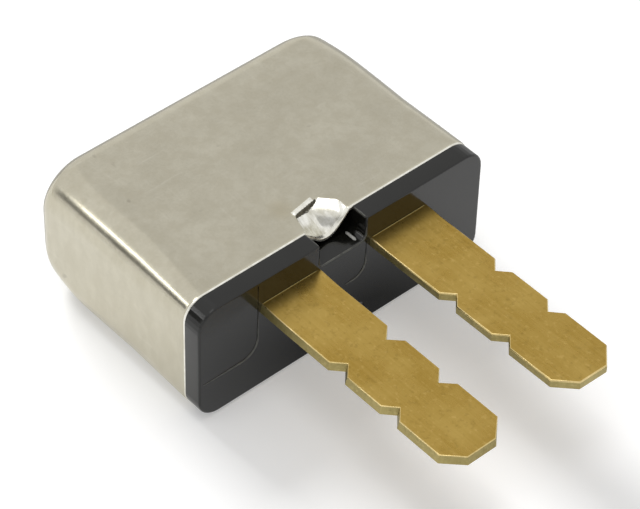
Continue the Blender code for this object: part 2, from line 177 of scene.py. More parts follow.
def stake_fall(x, y):
    """How far the surface is pushed in at a point, or pushed up where it is negative."""
    back = stake_back(x)
    along = np.clip((back - y) / (back - LIP_Y), 0, 1.05)
    left_edge = STAKE_LEFT[0] + (STAKE_LEFT[1] - STAKE_LEFT[0]) * along
    bite = BITE_DEPTH * smooth_step((x - left_edge) / BITE_RUN) * (1 - np.clip(along, 0, 1) ** 2)
    growing = SLOPE_AT_CREASE + (1 - SLOPE_AT_CREASE) * along
    left_side = LEFT_SLOPE * (x - left_edge) * growing + bite
    inside = (FACET_FOLD[0] - x) * FACET_DOWNHILL[0] + (FACET_FOLD[1] - y) * FACET_DOWNHILL[1]
    past_fold = FOLD_ROUND * np.logaddexp(0, (inside - FOLD_START) / FOLD_ROUND)
    right_side = FACET_SLOPE * inside + FOLD_SLOPE * past_fold
    fall = soft_min(left_side, right_side, VALLEY_ROUND)
    fall = soft_min(fall, RIGHT_SLOPE * (STAKE_RIGHT - x), RIGHT_ROUND)
    fall = soft_min(fall, STAKE_DEPTH, FLOOR_ROUND)
    fall = soft_min(fall, CREASE_WALL * (back - y), CREASE_ROUND)
    ridge = np.exp(-((y - back - RIDGE_BEHIND) / RIDGE_WIDTH) ** 2)
    ridge = ridge * smooth_step((x - RIDGE_LEFT) / RIDGE_LEFT_RUN)
    ridge = ridge * smooth_step((RIDGE_RIGHT - x) / RIDGE_RIGHT_RUN)
    return np.maximum(fall, 0) - RIDGE_HEIGHT * ridge


deepest_x = -0.12 * MM
deepest = float(stake_fall(np.array([deepest_x]), LIP_Y)[0])
print("deepest point of the stake, mm:", round(deepest / MM, 2))

# %% [markdown]
# ## The can's outline
#
# A drawn can is a rounded rectangle whose edges are tighter at the lip and rounder at the
# closed end, and the press leaves its broad sides a little swollen. Each outline here is
# worked out from its distance behind the lip. Points crowd together where the stake is,
# because that is the only place where the broad side isn't smooth.

# %% Outline of the can at one place
TOP_BELLY, UNDER_BELLY = 0.42 * MM, 0.18 * MM    # how far the broad sides swell
BELLY_RUN = 12 * MM                              # behind the lip, where the swell is full
LIP_CORNER, BODY_CORNER = 1.55 * MM, 2.2 * MM    # radius of the long edges
CORNER_RUN = 6 * MM
TOP_END_CORNER, UNDER_END_CORNER = 3.3 * MM, 4.6 * MM
END_CORNER_RUN = 5.2 * MM
END_RADIUS = 1.5 * MM
CORNER_STEPS = 16
LEAST_SIDE = 0.2 * MM                            # a corner never takes the whole side
BROAD_FROM = 3 * MM                              # a broad side's points are above or below this
GUARD = 0.12 * MM          # a point this close to each curve keeps the smooth shading on it
EDGE_ROOM = 0.3 * MM
BROAD_REACH = 9            # in mm, and so are the ends of the crowded stretch at the stake
CROWDED_FROM, CROWDED_TO, STEP_OUT = -2.9, 2.3, 0.3
broad_x = np.concatenate([np.linspace(-BROAD_REACH, CROWDED_FROM - STEP_OUT, 8),
                          np.linspace(CROWDED_FROM, CROWDED_TO, 100),
                          np.linspace(CROWDED_TO + STEP_OUT, BROAD_REACH, 9)]) * MM


def corner_points(x, z, radius, start):
    turn = np.radians(start + 90 * np.arange(CORNER_STEPS + 1) / CORNER_STEPS)
    return np.stack([x + radius * np.cos(turn), z + radius * np.sin(turn)], 1)


def broad_points(flat, z):
    """Points across one broad side, from left to right, with one close to each rounded edge."""
    narrower = min(1.0, (flat - EDGE_ROOM) / (BROAD_REACH * MM + EDGE_ROOM))
    row = np.concatenate([[GUARD - flat], broad_x * narrower, [flat - GUARD]])
    return np.stack([row, np.full(len(row), z)], 1)


def edge_radius(y, end_corner):
    radius = LIP_CORNER + (BODY_CORNER - LIP_CORNER) * min((y - LIP_Y) / CORNER_RUN, 1)
    into_end = max((y - (end_y - END_CORNER_RUN)) / END_CORNER_RUN, 0)
    return radius + (end_corner - BODY_CORNER) * into_end ** 2


def can_outline(y, inset, drawn_in=0.0):
    swell = math.sin(math.pi / 2 * min((y - LIP_Y) / BELLY_RUN, 1))
    shrink = inset + drawn_in
    high = height / 2 + TOP_BELLY * swell - shrink
    low = shrink - height / 2 - UNDER_BELLY * swell
    top_r = min(edge_radius(y, TOP_END_CORNER) - inset, high - LEAST_SIDE)
    low_r = min(edge_radius(y, UNDER_END_CORNER) - inset, -low - LEAST_SIDE)
    half = width / 2 - shrink
    side_guards = np.array([[half, low + low_r + GUARD], [half, high - top_r - GUARD]])
    points = np.concatenate([
        corner_points(half - top_r, high - top_r, top_r, 0),
        broad_points(half - top_r, high)[::-1],
        corner_points(top_r - half, high - top_r, top_r, 90),
        (side_guards * (-1, 1))[::-1],
        corner_points(low_r - half, low + low_r, low_r, 180),
        broad_points(half - low_r, low),
        corner_points(half - low_r, low + low_r, low_r, 270),
        side_guards])
    fall = stake_fall(points[:, 0], y) * (np.abs(points[:, 1]) > BROAD_FROM)
    z = points[:, 1] - np.sign(points[:, 1]) * fall
    return np.stack([points[:, 0], np.full(len(points), y), z], 1)


print("points in one outline of the can:", len(can_outline(LIP_Y, 0)))

# %% [markdown]
# ## The can
#
# The skin runs from the closed end to the lip, turns round the lip and comes back inside,
# so the can is a real shell of sheet metal. The lip's outer edge is softly rolled, which
# draws the bright line along it.

# %% Loft the can
WALL = 0.3 * MM
LIP_ROLL_LENGTH, LIP_ROLL_DROP = 0.34 * MM, 0.14 * MM
STAKE_ROWS_Y, ROW_GAP = 4.15 * MM, 0.15 * MM     # rows crowd together in front of the first
END_STEPS, LIP_STEPS, INNER_STEPS = 16, 8, 6


def turns(steps):
    return [math.pi / 2 * step / steps for step in range(1, steps + 1)]


outlines = [can_outline(end_y, 0, END_RADIUS + GUARD)]
for turn in reversed(turns(END_STEPS)):
    y = end_y - END_RADIUS + END_RADIUS * math.sin(turn)
    outlines.append(can_outline(y, 0, END_RADIUS * (1 - math.cos(turn))))
body_y = np.concatenate([np.linspace(end_y - END_RADIUS, STAKE_ROWS_Y + ROW_GAP, 30),
                         np.linspace(STAKE_ROWS_Y, LIP_Y + LIP_ROLL_LENGTH, 60)])
for y in body_y:
    outlines.append(can_outline(y, 0))
for turn in turns(LIP_STEPS):
    y = LIP_Y + LIP_ROLL_LENGTH * (1 - math.sin(turn))
    outlines.append(can_outline(y, LIP_ROLL_DROP * (1 - math.cos(turn))))
for y in np.concatenate([[LIP_Y], body_y[::-1][::3]]):
    outlines.append(can_outline(y, WALL))
inner_end = END_RADIUS - WALL
for turn in turns(INNER_STEPS):
    y = end_y - END_RADIUS + inner_end * math.sin(turn)
    outlines.append(can_outline(y, WALL, inner_end * (1 - math.cos(turn))))
bm = bmesh.new()
add_loft(bm, outlines)
can = place("can", bm, 50)
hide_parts("cover")
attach(can, "root")
print("can:", len(can.data.polygons), "faces")

# %% [markdown]
# The chisel and the shears leave metal that looks unlike the plated sides: the lip's cut
# edge and the ridge are bare, and the dent itself is rubbed. These finishes are also paler
# than the plating, which is painted highlight on the lip, the ridge and the dent. The crease
# gets a dark finish that is painted shade, the shadow of its step. A mask could be painted
# for that. Giving each face one of four finishes by its place is simpler, and it stays
# sharp when the model is exported.

# %% Which of the can's faces get which finish
PLATED, BARE_WITH_PAINTED_HIGHLIGHT, CREASE_PAINTED_SHADE, WORKED_WITH_PAINTED_HIGHLIGHT = range(4)
# the crease band gets painted shade: a dark finish where the shadow of its step falls
CREASE_SHADE_BAND, CREASE_SHADE_X = (-0.01 * MM, 0.13 * MM), (-1.62 * MM, 0.42 * MM)
RIDGE_BAND, RIDGE_X = (-0.36 * MM, 0), (-1.75 * MM, 0.2 * MM)
# the cut edge, the ridge and the dent get finishes paler than the plating, as painted highlight;
# the band at the lip is wider in the dent, for its bright rim
CUT_EDGE, CUT_EDGE_IN_DENT = 0.14 * MM, 0.24 * MM
IN_DENT, WORKED_FROM = 0.1 * MM, 0.015 * MM      # how far a face is pushed in there

for face in can.data.polygons:
    spot_x, spot_y, _ = face.center - face_point
    before_back = stake_back(spot_x) - spot_y
    pushed_in = float(stake_fall(np.array([spot_x]), spot_y)[0])
    in_crease_shade = CREASE_SHADE_BAND[0] < before_back < CREASE_SHADE_BAND[1] and CREASE_SHADE_X[0] < spot_x < CREASE_SHADE_X[1]
    on_ridge = RIDGE_BAND[0] < before_back < RIDGE_BAND[1] and RIDGE_X[0] < spot_x < RIDGE_X[1]
    at_lip = spot_y < LIP_Y + (CUT_EDGE_IN_DENT if pushed_in > IN_DENT else CUT_EDGE)
    if in_crease_shade:
        face.material_index = CREASE_PAINTED_SHADE
    elif at_lip or on_ridge:
        face.material_index = BARE_WITH_PAINTED_HIGHLIGHT
    elif pushed_in > WORKED_FROM:
        face.material_index = WORKED_WITH_PAINTED_HIGHLIGHT
    else:
        face.material_index = PLATED
kinds = [face.material_index for face in can.data.polygons]
print("bare, creased and worked faces:", [kinds.count(kind) for kind in (BARE_WITH_PAINTED_HIGHLIGHT, CREASE_PAINTED_SHADE, WORKED_WITH_PAINTED_HIGHLIGHT)])

# %% [markdown]
# ## Outlines that can be pulled in
#
# Moulded and punched pieces both have soft edges. The easy way to make one is to repeat the
# piece's outline a few times, each time a little further on and a little further in, along
# a quarter circle. The helpers below draw arcs, pull an outline in and add the guard points
# that keep a flat face looking flat beside its soft edge.

# %% Outline helpers
def arc(x, z, radius, start, stop, steps=8):
    return [(x + radius * math.cos(math.radians(start + (stop - start) * k / steps)),
             z + radius * math.sin(math.radians(start + (stop - start) * k / steps)))
            for k in range(steps + 1)]


def guarded(outline, margin=0.05 * MM):
    """Add a point near both ends of every long straight run of a closed outline."""
    points = []
    for here, after in zip(outline, outline[1:] + outline[:1]):
        here, after = Vector(here), Vector(after)
        run = (after - here).length
        points.append(tuple(here))
        if run > 4 * margin:
            points += [tuple(here.lerp(after, margin / run)), tuple(after.lerp(here, margin / run))]
    return points


def pulled_in(outline, amount):
    """The same outline moved inwards by an even amount, corner by corner."""
    count = len(outline)
    moved = []
    for i in range(count):
        before, here, after = (Vector(outline[(i + k) % count]) for k in (-1, 0, 1))
        a = (here - before).normalized()
        b = (after - here).normalized()
        inward = Vector((-a.y - b.y, a.x + b.x)).normalized()
        # A corner has to move further than a side, but a very sharp one is held back
        reach = amount / max(inward.dot(Vector((-a.y, a.x))), 0.35)
        moved.append(tuple(here + inward * reach))
    return moved


def quarter_round(radius, steps=6):
    """(how far back, how far in) along a soft edge, from the flat side to the face."""
    angles = [math.pi / 2 * k / steps for k in range(steps + 1)]
    return [(radius * (1 - math.sin(angle)), radius * (1 - math.cos(angle))) for angle in angles]


def at(y, outline):
    return [(x, y, z) for x, z in outline]


print("points along one soft edge:", len(quarter_round(1)))

# %% [markdown]
# ## The moulded base
#
# The base is one moulding: a flange that stands out of the can, and a plug behind it that
# fills the can's mouth. Both have a pocket at the middle of each broad side, where the can's
# lip is staked down. The pocket could be cut out with a boolean, but then its edge would
# stay sharp. Here it is part of the outline, so one loft makes the flange with its soft
# front edge, and the edge runs round the pocket as well, as it does in the mould.

# %% Outline of the moulding
FLANGE_THICKNESS = 1.45 * MM
FLANGE_CORNER = 1.7 * MM
FACE_EDGE = 0.16 * MM
POCKET_LEFT, POCKET_RIGHT = -2.2 * MM, 1.95 * MM
POCKET_DEPTH = 1.99 * MM
POCKET_FILLETS = (0.32 * MM, 0.5 * MM)           # left and right corner of its floor
POCKET_MOUTH = 0.2 * MM


def moulding_outline(step_in=0.0, pocket_depth=None, spare=0.0):
    """Right side, over the top to the left side, and back underneath."""
    half, high, corner = width / 2 - step_in, height / 2 - step_in, FLANGE_CORNER - step_in
    upper = arc(half - corner, high - corner, corner, 0, 90)
    if pocket_depth:
        floor = height / 2 - pocket_depth
        left, right = POCKET_LEFT - spare, POCKET_RIGHT + spare
        left_r, right_r = POCKET_FILLETS
        mouth = POCKET_MOUTH
        upper += arc(right + mouth, high - mouth, mouth, 90, 180)
        upper += arc(right - right_r, floor + right_r, right_r, 0, -90)
        upper += arc(left + left_r, floor + left_r, left_r, -90, -180)
        upper += arc(left - mouth, high - mouth, mouth, 0, 90)
    upper += arc(corner - half, high - corner, corner, 90, 180)
    return guarded(upper + [(x, -z) for x, z in reversed(upper)])


print("points in the flange's outline:", len(moulding_outline(0, POCKET_DEPTH)))

# %% Loft the flange and the plug
FACE_GUARD = 0.03 * MM
PLUG_STEP = WALL + 0.03 * MM                     # the plug fits inside the can's wall
PLUG_POCKET_DEEPER, PLUG_POCKET_WIDER = 0.12 * MM, 0.05 * MM
POCKET_BACK, PLUG_BACK = 4.3 * MM, 6.05 * MM
PLUG_OVERLAP, BACK_OVERLAP = 0.1 * MM, 0.05 * MM # each part starts inside the one in front
BACK_STEP = PLUG_STEP + 0.02 * MM

bm = bmesh.new()
flange_outline = moulding_outline(0, POCKET_DEPTH)
rings = [at(0, pulled_in(flange_outline, FACE_EDGE + FACE_GUARD))]
for further_back, further_in in reversed(quarter_round(FACE_EDGE)):
    rings.append(at(further_back, pulled_in(flange_outline, further_in)))
rings.append(at(FLANGE_THICKNESS, flange_outline))
add_loft(bm, rings)
plug_outline = moulding_outline(PLUG_STEP, POCKET_DEPTH + PLUG_POCKET_DEEPER, PLUG_POCKET_WIDER)
add_loft(bm, [at(FLANGE_THICKNESS - PLUG_OVERLAP, plug_outline), at(POCKET_BACK, plug_outline)])
back_outline = moulding_outline(BACK_STEP)
add_loft(bm, [at(POCKET_BACK - BACK_OVERLAP, back_outline), at(PLUG_BACK, back_outline)])
moulding = place("moulded_base", bm, 40)
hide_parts("base")
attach(moulding, "root")
print("moulding:", len(moulding.data.polygons), "faces")

# %% [markdown]
# ## Lines on the moulding
#
# Low pads stand on the face, one at each side and one between the blades under the pocket.
# They are only a hair proud, too little to see. What shows is the fine line that the
# mould's parting leaves along some of their edges and round the pocket, and a short rib
# inside the pocket. A thin round bead, half sunk in the moulding, is enough for each. The
# lines' pale colour is partly painted highlight, the light such an edge catches, and the
# rib's near white is a painted glint.

# %% Bead helper
END_TAPER = 0.4


def bead(bm, path, radius):
    """A thin round bead along a path of points, tapered at both ends."""
    rings = []
    for i, point in enumerate(path):
        ahead = Vector(path[min(i + 1, len(path) - 1)]) - Vector(path[max(i - 1, 0)])
        turn = ahead.to_track_quat("Z", "Y").to_matrix()
        r = radius * (END_TAPER if i in (0, len(path) - 1) else 1.0)
        rings.append([tuple(Vector(point) + turn @ Vector((r * math.cos(a), r * math.sin(a), 0)))
                      for a in (math.tau * k / 8 for k in range(8))])
    add_loft(bm, rings)


LINE_RADIUS = 0.075 * MM
print("parting lines are", round(2 * LINE_RADIUS / MM, 2), "mm wide")

# %% Parting lines and the pocket's rib
SIDE_PAD_X, SIDE_PAD_Z, SIDE_PAD_CORNER = 7.65 * MM, 3.4 * MM - height / 2, 1.4 * MM
MIDDLE_PAD_X, MIDDLE_PAD_Z, MIDDLE_PAD_CORNER = 2.0 * MM, 4.75 * MM - height / 2, 1.2 * MM
LINE_Y, POCKET_LINE_Y = -0.005 * MM, 0.035 * MM
LINE_OUT, EDGE_LINE_OUT = 0.05 * MM, 0.06 * MM   # just outside the pocket's outline
SIDE_LINE_TOP, SIDE_LINE_END = 0.3 * MM, 0.35 * MM      # how far it stops short of the edges
MIDDLE_LINE_TAIL, TAIL_DROP = 0.6 * MM, 0.02 * MM
POCKET_LINE_RISE, POCKET_LINE_TOP = 1.6 * MM, 0.25 * MM
RIB_X, RIB_RADIUS, RIB_SUNK = 1.33 * MM, 0.13 * MM, 0.02 * MM
pocket_floor = height / 2 - POCKET_DEPTH

side_left = -SIDE_PAD_X - SIDE_PAD_CORNER
side_line = [(-SIDE_PAD_X, height / 2 - SIDE_LINE_TOP)]
side_line += arc(side_left, SIDE_PAD_Z + SIDE_PAD_CORNER, SIDE_PAD_CORNER, 0, -90)
side_line += [(SIDE_LINE_END - width / 2, SIDE_PAD_Z)]
middle_left = MIDDLE_PAD_X - MIDDLE_PAD_CORNER
middle_line = [(MIDDLE_PAD_X, pocket_floor - FACE_EDGE)]
middle_line += arc(middle_left, MIDDLE_PAD_Z + MIDDLE_PAD_CORNER, MIDDLE_PAD_CORNER, 0, -90)
middle_line += [(middle_left - MIDDLE_LINE_TAIL, MIDDLE_PAD_Z - TAIL_DROP)]
floor = pocket_floor - LINE_OUT
left_r, right_r = POCKET_FILLETS
pocket_line = [(POCKET_LEFT - LINE_OUT, floor + POCKET_LINE_RISE)]
pocket_line += arc(POCKET_LEFT + left_r, floor + left_r, left_r + LINE_OUT, 180, 270)
pocket_line += arc(POCKET_RIGHT - right_r, floor + right_r, right_r + LINE_OUT, -90, 0)
pocket_line += [(POCKET_RIGHT + LINE_OUT, height / 2 - POCKET_LINE_TOP)]
corner_x, corner_z = POCKET_RIGHT + EDGE_LINE_OUT, height / 2 - EDGE_LINE_OUT

bm = bmesh.new()
for line in (side_line, middle_line):
    bead(bm, at(LINE_Y, line), LINE_RADIUS)
bead(bm, at(POCKET_LINE_Y, pocket_line), LINE_RADIUS)
bead(bm, [(corner_x, y * MM, corner_z) for y in (0.2, 0.7, 1.3)], LINE_RADIUS)
glint_rib_starts = len(bm.faces)
bead(bm, [(RIB_X, y * MM, pocket_floor - RIB_SUNK) for y in (0.33, 0.45, 1.25, 1.37)], RIB_RADIUS)
parting_lines = place("parting_lines", bm, 60)
# the rib's faces take the second finish, a painted glint
for face in parting_lines.data.polygons[glint_rib_starts:]:
    face.material_index = 1
parting_lines.parent = moulding
print("parting lines and rib:", len(parting_lines.data.polygons), "faces")

# %% [markdown]
# ## The brass terminals
#
# Each terminal is punched from rolled strip. The punch drags the upper edge over before it
# shears through, so that edge is soft and catches the light all along the blade, and a
# small burr is left under the lower one. The left blade's sides also lean in a little. The
# right blade's upper edge is dragged over further.
#
# An extruded outline with a bevel would have the same edge everywhere. Instead the outline
# is repeated at a few heights, each pulled in by what the section asks for there.

# %% Outline of a terminal, seen from above
BLADE_WIDTH = 5.2 * MM
BLADE_LENGTH = 18.73 * MM
TIP_CHAMFER = 1.36 * MM
NOTCH_DEPTH, NOTCH_LENGTH = 0.78 * MM, 1.66 * MM
NOTCHES = (12.69 * MM, 7.65 * MM)
SHOULDER_Y, TONGUE_Y = 6.35 * MM, 7.85 * MM
SHOULDER_REACH, SHOULDER_EDGE = 0.5 * MM, 0.2 * MM
TONGUE_BEND = 2.0 * MM                           # the inner tongue steps down over this length
ROOT_SWELL_LENGTH, ROOT_SWELL = 1.9 * MM, 0.09 * MM     # thicker where it leaves the base
tongue_end = blade_high.y - face_point.y
half_blade = BLADE_WIDTH / 2


def terminal_side():
    """Half width against place along the blade, from the tip to the inner end."""
    side = [(half_blade - TIP_CHAMFER, -BLADE_LENGTH), (half_blade, TIP_CHAMFER - BLADE_LENGTH)]
    for middle in NOTCHES:
        side += [(half_blade, -middle - NOTCH_LENGTH / 2), (half_blade - NOTCH_DEPTH, -middle)]
        side += [(half_blade, -middle + NOTCH_LENGTH / 2)]
    side += [(half_blade, -ROOT_SWELL_LENGTH * k / 8) for k in range(9, -2, -1)]
    shoulder = half_blade + SHOULDER_REACH
    side += [(half_blade, SHOULDER_Y), (shoulder, SHOULDER_Y + SHOULDER_EDGE)]
    side += [(shoulder, TONGUE_Y - SHOULDER_EDGE), (half_blade, TONGUE_Y)]
    side += [(half_blade, TONGUE_Y + TONGUE_BEND), (half_blade, tongue_end)]
    return side


print("points along one side of a terminal:", len(terminal_side()))

# %% How a terminal is made
BLADE_MIDDLE_X = 4.9 * MM
BLADE_RIGHT = 0.05 * MM          # both stand a hair to the right of the moulding's middle
UNDER_SWELL = 0.03 * MM          # the lower face stands a hair lower than the solid's
BURR = 0.03 * MM
TOP_GUARD = 0.03 * MM
SEAM_Y, SEAM_RADIUS = -0.02 * MM, 0.03 * MM
# by which way a face looks: the soft edge's tilted faces get a pale finish that is painted
# highlight, and the sides a darker one, partly painted shade
ROLLED, SHEARED_PAINTED_SHADE, PAINTED_EDGE_HIGHLIGHT = range(3)
UPRIGHT, LEVEL = 0.3, 0.96       # how far up a face looks: a side below one, a face above the other
blade_middle_z = (blade_low.z + blade_high.z) / 2 - face_point.z
top = (blade_high.z - blade_low.z) / 2
bottom = -top - UNDER_SWELL


def blade_levels(lean, roll_down, roll_in):
    """(height, how far in) from the burr, up the leaning side and round the soft edge."""
    levels = [(bottom, 2 * BURR), (bottom, BURR), (bottom + BURR, 0.0)]
    for below, further_in in quarter_round(roll_down, 8):
        levels.append((top - below, lean + further_in * roll_in / roll_down))
    return levels + [(top, lean + roll_in + TOP_GUARD)]


def make_terminal(name, side, drop, tip, reach, levels):
    """tip is how far the tip stands to the right and up, and how far it is turned.

    reach is how far the right side leans out again at the top."""
    tip_right, tip_up, tip_turn = tip
    middle_x = side * BLADE_MIDDLE_X + BLADE_RIGHT
    right_half = terminal_side()
    outline = right_half + [(-x, y) for x, y in reversed(right_half)]
    rings = []
    for z, amount in levels:
        ring = []
        for x, y in pulled_in(outline, amount):
            lower = min(max((y - TONGUE_Y) / TONGUE_BEND, 0), 1) * drop
            out = max(-y / BLADE_LENGTH, 0)
            raised = (tip_up - tip_turn * x / half_blade) * out
            if z > 0:
                raised += ROOT_SWELL * (1 - float(smooth_step(abs(y) / ROOT_SWELL_LENGTH)))
            x += reach * max(x, 0) / half_blade * (z - bottom) / (top - bottom)
            ring.append((x + middle_x + tip_right * out, y, z + blade_middle_z - lower + raised))
        rings.append(ring)
    bm = bmesh.new()
    add_loft(bm, rings, mirrored=True)
    seam_starts = len(bm.faces)
    seam_z = blade_middle_z + top + ROOT_SWELL
    bead(bm, [(middle_x + x * MM, SEAM_Y, seam_z) for x in (-2.4, -2.3, 2.3, 2.4)], SEAM_RADIUS)
    terminal = place(name, bm, 40)
    for face in terminal.data.polygons:
        # sides and the seam: sheared brass, darker partly as painted shade
        if abs(face.normal.z) < UPRIGHT or face.index >= seam_starts:
            face.material_index = SHEARED_PAINTED_SHADE
        # faces tilted between side and top: a painted highlight along the soft edge
        elif UPRIGHT < face.normal.z < LEVEL:
            face.material_index = PAINTED_EDGE_HIGHLIGHT
        else:
            face.material_index = ROLLED
    print(name, len(terminal.data.polygons), "faces")
    return terminal


print("blade thickness, mm:", round((top - bottom) / MM, 2))

# %% Build both terminals
right_low, right_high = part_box("right_terminal")
tongue_drop = (right_high.z - right_low.z) - (blade_high.z - blade_low.z)
left_terminal = make_terminal("left_blade", -1, 0, (0, 0, 0), 0.22 * MM,
                              blade_levels(0.12 * MM, 0.09 * MM, 0.08 * MM))
right_terminal = make_terminal("right_blade", 1, tongue_drop, (0.16 * MM, 0.08 * MM, 0.09 * MM),
                               0.03 * MM, blade_levels(0, 0.24 * MM, 0.12 * MM))
for terminal, node in ((left_terminal, "left_terminal"), (right_terminal, "right_terminal")):
    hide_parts(node)
    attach(terminal, "root")

# %% [markdown]
# ## Helpers for finishes
#
# Every finish starts from a Principled shader and a few noise textures. Object coordinates
# are used throughout, so one unit is a metre and a noise of scale 500 makes spots about
# two millimetres across. The helpers keep the finishes below short enough to read.

# %% Start a finish, and the nodes that make its patterns
def start_material(name):
    material = bpy.data.materials.new(name)
    material.use_nodes = True
    tree = material.node_tree
    shader = tree.nodes["Principled BSDF"]
    place_node = tree.nodes.new("ShaderNodeTexCoord")
    return material, tree, shader, place_node.outputs["Object"]


def stretched(tree, vector, scale, turn=(0, 0, 0)):
    node = tree.nodes.new("ShaderNodeMapping")
    node.inputs["Scale"].default_value = scale
    node.inputs["Rotation"].default_value = [math.radians(a) for a in turn]
    tree.links.new(vector, node.inputs["Vector"])
    return node.outputs["Vector"]


def noise(tree, vector, scale, detail=3.0, rough=0.5, warp=0.0):
    node = tree.nodes.new("ShaderNodeTexNoise")
    node.inputs["Scale"].default_value = scale
    node.inputs["Detail"].default_value = detail
    node.inputs["Roughness"].default_value = rough
    node.inputs["Distortion"].default_value = warp
    tree.links.new(vector, node.inputs["Vector"])
    return node.outputs["Fac"]


def spread(tree, value, low, high, to_low=0.0, to_high=1.0):
    """Stretch the part of a value between low and high over a new range."""
    node = tree.nodes.new("ShaderNodeMapRange")
    numbers = {"From Min": low, "From Max": high, "To Min": to_low, "To Max": to_high}
    for name, number in numbers.items():
        node.inputs[name].default_value = number
    tree.links.new(value, node.inputs["Value"])
    return node.outputs["Result"]


def spot(tree, vector, point, radius):
    """1 at a point, fading to 0 at a distance from it."""
    node = tree.nodes.new("ShaderNodeVectorMath")
    node.operation = "DISTANCE"
    tree.links.new(vector, node.inputs[0])
    node.inputs[1].default_value = point
    return spread(tree, node.outputs["Value"], radius, 0.0)


print("a noise of scale 500 makes spots of", round(1 / 500 / MM, 1), "mm")

# %% Nodes that mix colours, numbers and bumps
def blend(tree, amount, first, second):
    """Mix two colours. Each is a colour or the output of another node."""
    node = tree.nodes.new("ShaderNodeMix")
    node.data_type = "RGBA"
    tree.links.new(amount, node.inputs["Factor"])
    for socket, colour in ((node.inputs["A"], first), (node.inputs["B"], second)):
        if isinstance(colour, tuple):
            socket.default_value = (*colour, 1.0)
        else:
            tree.links.new(colour, socket)
    return node.outputs["Result"]


def arithmetic(tree, kind, first, second):
    node = tree.nodes.new("ShaderNodeMath")
    node.operation = kind
    for socket, value in zip(node.inputs, (first, second)):
        if isinstance(value, (int, float)):
            socket.default_value = value
        else:
            tree.links.new(value, socket)
    return node.outputs["Value"]


def weaker(tree, mask, share):
    return arithmetic(tree, "MULTIPLY", mask, share)


def bumps(tree, heights):
    """Chain height maps into one bump. Each is (height, distance in metres, strength)."""
    normal = None
    for value, distance, strength in heights:
        node = tree.nodes.new("ShaderNodeBump")
        node.inputs["Distance"].default_value = distance
        node.inputs["Strength"].default_value = strength
        tree.links.new(value, node.inputs["Height"])
        if normal:
            tree.links.new(normal, node.inputs["Normal"])
        normal = node.outputs["Normal"]
    return normal


def connect(tree, shader, **sources):
    """Link outputs to the shader: colour, roughness and normal."""
    sockets = {"colour": "Base Color", "roughness": "Roughness", "normal": "Normal"}
    for name, source in sources.items():
        tree.links.new(source, shader.inputs[sockets[name]])


print("a finish links colour, roughness and normal to its shader")

# %% [markdown]
# ## The can's metal
#
# The can is thin steel with a dull plating, warm grey and a little cloudy. Handling leaves
# fine scratches, a few dark specks and, beside the stake, a faint brown stain. The colour
# differences are small: it is the uneven roughness that makes sheet metal look real.

# %% Plated sheet steel
can_metal, tree, shader, here = start_material("plated_sheet_steel")
shader.inputs["Metallic"].default_value = 1.0
clouds = noise(tree, here, 260, 4, 0.55, 0.4)
fine = noise(tree, here, 5200, 2, 0.6)
colour = blend(tree, spread(tree, clouds, 0.35, 0.65), (0.488, 0.458, 0.361), (0.545, 0.514, 0.412))
colour = blend(tree, spread(tree, fine, 0.3, 0.7, 0.0, 0.35), colour, (0.574, 0.541, 0.443))

rubbed = noise(tree, stretched(tree, here, (1, 0.04, 1), (0, 0, 24)), 3600, 2, 0.6)
scuffed = noise(tree, stretched(tree, here, (0.05, 1, 1), (0, 0, -31)), 2900, 2, 0.6)
scratches = weaker(tree, spread(tree, rubbed, 0.62, 0.75), spread(tree, clouds, 0.42, 0.6))
scuffs = weaker(tree, spread(tree, scuffed, 0.64, 0.76), spread(tree, clouds, 0.6, 0.4))
marks = arithmetic(tree, "MAXIMUM", scratches, scuffs)
colour = blend(tree, weaker(tree, marks, 0.35), colour, (0.640, 0.615, 0.525))

specks = spread(tree, noise(tree, here, 900, 1, 0.5), 0.76, 0.82)
colour = blend(tree, weaker(tree, specks, 0.35), colour, (0.24, 0.215, 0.17))
stain = spot(tree, here, (-0.0021, face_point.y + 0.0042, cover_high.z), 0.0012)
colour = blend(tree, weaker(tree, stain, 0.45), colour, (0.40, 0.33, 0.18))
mottle = noise(tree, stretched(tree, here, (1, 1, 0.5)), 950, 3, 0.65)
colour = blend(tree, spread(tree, mottle, 0.4, 0.62, 0.0, 0.5), colour, (0.470, 0.436, 0.335))

roughness = arithmetic(tree, "ADD", spread(tree, clouds, 0.3, 0.7, 0.17, 0.22),
                       weaker(tree, fine, 0.04))
dents = noise(tree, here, 190, 2, 0.5)
normal = bumps(tree, [(dents, 0.00004, 0.3), (fine, 0.000004, 0.6), (mottle, 0.000006, 0.4),
                      (marks, 0.000006, 0.35)])
connect(tree, shader, colour=colour, roughness=roughness, normal=normal)
can.data.materials.append(can_metal)
print("finish:", can_metal.name)

# %% [markdown]
# Where the chisel or the shears went through the plating, three small finishes take over:
# bare metal at the cut edge and on the ridge, made pale as a painted highlight, a dark one
# in the crease, which is painted shade, and rubbed metal in the dent, made pale as a painted
# highlight too. They are one recipe with different colours and dents.

# %% The cut edge, the crease and the stake's worked metal, with painted highlights and shade
# One recipe for bare, creased and worked metal: its colours paint highlights, and the crease's
# shade
def worn_metal_and_painted_light(name, dark, pale_colour, smooth, rough, across=(1, 1, 1), dented=0.3):
    material, tree, shader, here = start_material(name)
    shader.inputs["Metallic"].default_value = 1.0
    cloud = noise(tree, stretched(tree, here, across), 1700, 3, 0.6)
    grain = noise(tree, here, 5200, 2, 0.6)
    connect(tree, shader,
            colour=blend(tree, spread(tree, cloud, 0.35, 0.65), dark, pale_colour),
            roughness=spread(tree, grain, 0.3, 0.7, smooth, rough),
            normal=bumps(tree, [(cloud, 0.000010, dented)]))
    return material


